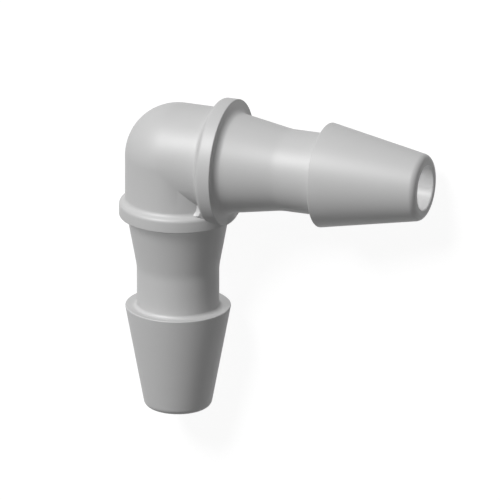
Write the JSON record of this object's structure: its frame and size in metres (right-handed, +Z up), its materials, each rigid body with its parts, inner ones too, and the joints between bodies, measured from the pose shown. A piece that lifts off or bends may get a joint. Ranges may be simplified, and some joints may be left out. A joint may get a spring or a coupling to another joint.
{
  "type": "barbed elbow fitting",
  "caption": "Right-angle hose barb elbow moulded in one piece, with a rounded corner, a collar and a tapered barb on each leg, and a passage through both.",
  "frame": {"origin": "on the surface that the fitting lies on, under the middle of its bounding box", "axes": "+Z up, away from that surface; the leg with the wide collar points along +X and the leg with the narrow collar along -Y, both dipping 6.2 degrees because the fitting rests on its wide collar and both barbs"},
  "size_m": [0.0262, 0.0264, 0.0102],
  "materials": {
    "moulded_plastic": "satin"
  },
  "bodies": {
    "root": {"elbow": "moulded_plastic"}
  },
  "joints": []
}
